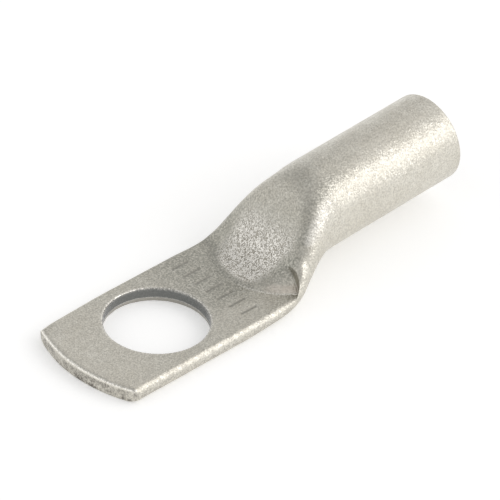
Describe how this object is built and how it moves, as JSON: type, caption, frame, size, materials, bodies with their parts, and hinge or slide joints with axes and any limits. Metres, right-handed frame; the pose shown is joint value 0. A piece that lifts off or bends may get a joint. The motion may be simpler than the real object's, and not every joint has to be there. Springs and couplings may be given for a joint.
{
  "type": "cable lug",
  "caption": "Tubular copper cable lug: a round barrel for a stripped conductor, pressed flat at the other end into a palm with one stud hole.",
  "frame": {"origin": "centre of the stud hole on the palm's underside, which is its contact face", "axes": "+X along the palm towards the barrel's mouth, +Z out of the palm on the side where the barrel stands, +Y to the left when looking along +X"},
  "size_m": [0.0599, 0.0174, 0.0135],
  "materials": {
    "tinned_copper": "matte tin plating"
  },
  "bodies": {
    "root": {"cable_lug": "tinned_copper"}
  },
  "joints": []
}
